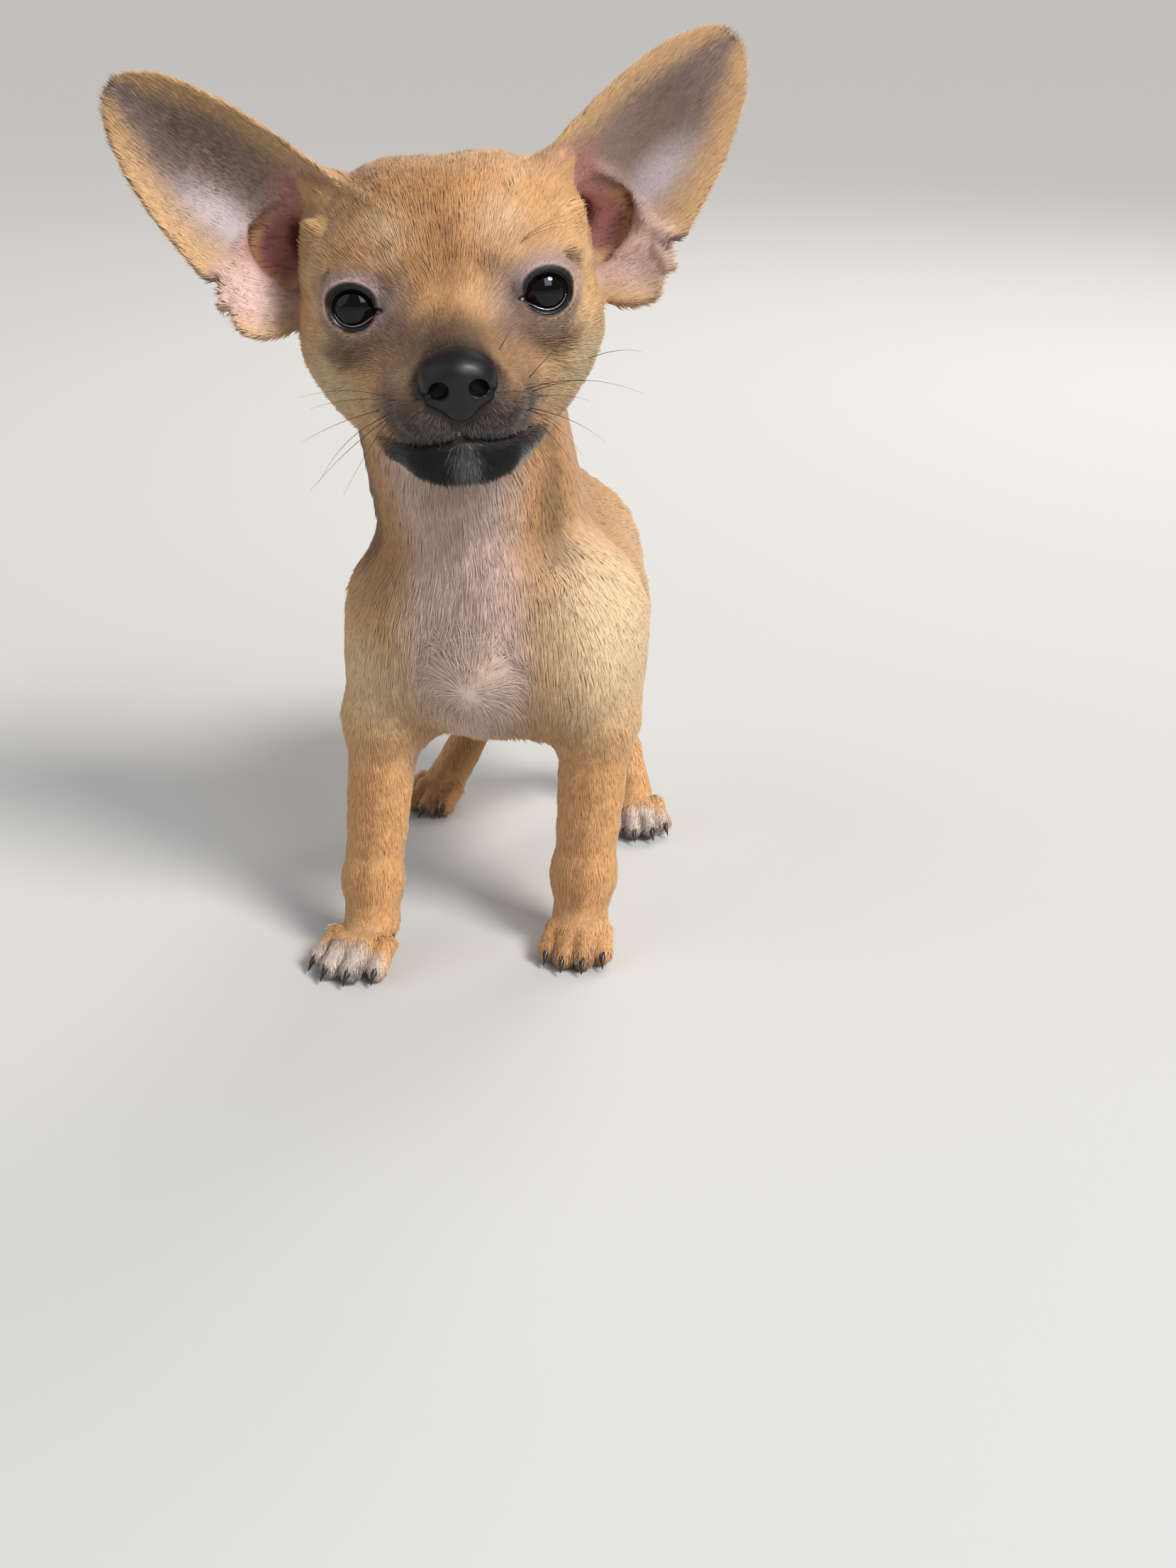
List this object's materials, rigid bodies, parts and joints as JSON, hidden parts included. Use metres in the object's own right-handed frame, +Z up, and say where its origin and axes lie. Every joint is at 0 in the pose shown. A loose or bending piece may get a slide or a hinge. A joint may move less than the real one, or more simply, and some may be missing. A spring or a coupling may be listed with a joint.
{
  "type": "chihuahua puppy",
  "caption": "Smooth-coated fawn chihuahua puppy standing on four feet, head turned to its left, large ears spread, black nose and dark eyes.",
  "frame": {"origin": "on the floor, under the middle of the animal's bounding box", "axes": "-Y forward, the way the chest faces; +X towards the dog's left; +Z up"},
  "size_m": [0.1342, 0.206, 0.2193],
  "materials": {
    "fawn": "short fawn hair",
    "cream": "thin pale hair over pink skin",
    "ear": "fine hair over pink skin",
    "nose": "moist black nose leather",
    "eye": "wet and glossy, nearly black"
  },
  "bodies": {
    "root": {"torso": "fawn", "neck": "cream", "head": "fawn", "tail": "fawn", "nose": "nose", "ear_left": "ear", "ear_right": "ear", "eye_left": "eye", "eye_right": "eye", "front_leg_left": "fawn", "front_leg_right": "fawn", "hind_leg_left": "fawn", "hind_leg_right": "fawn"}
  },
  "joints": []
}
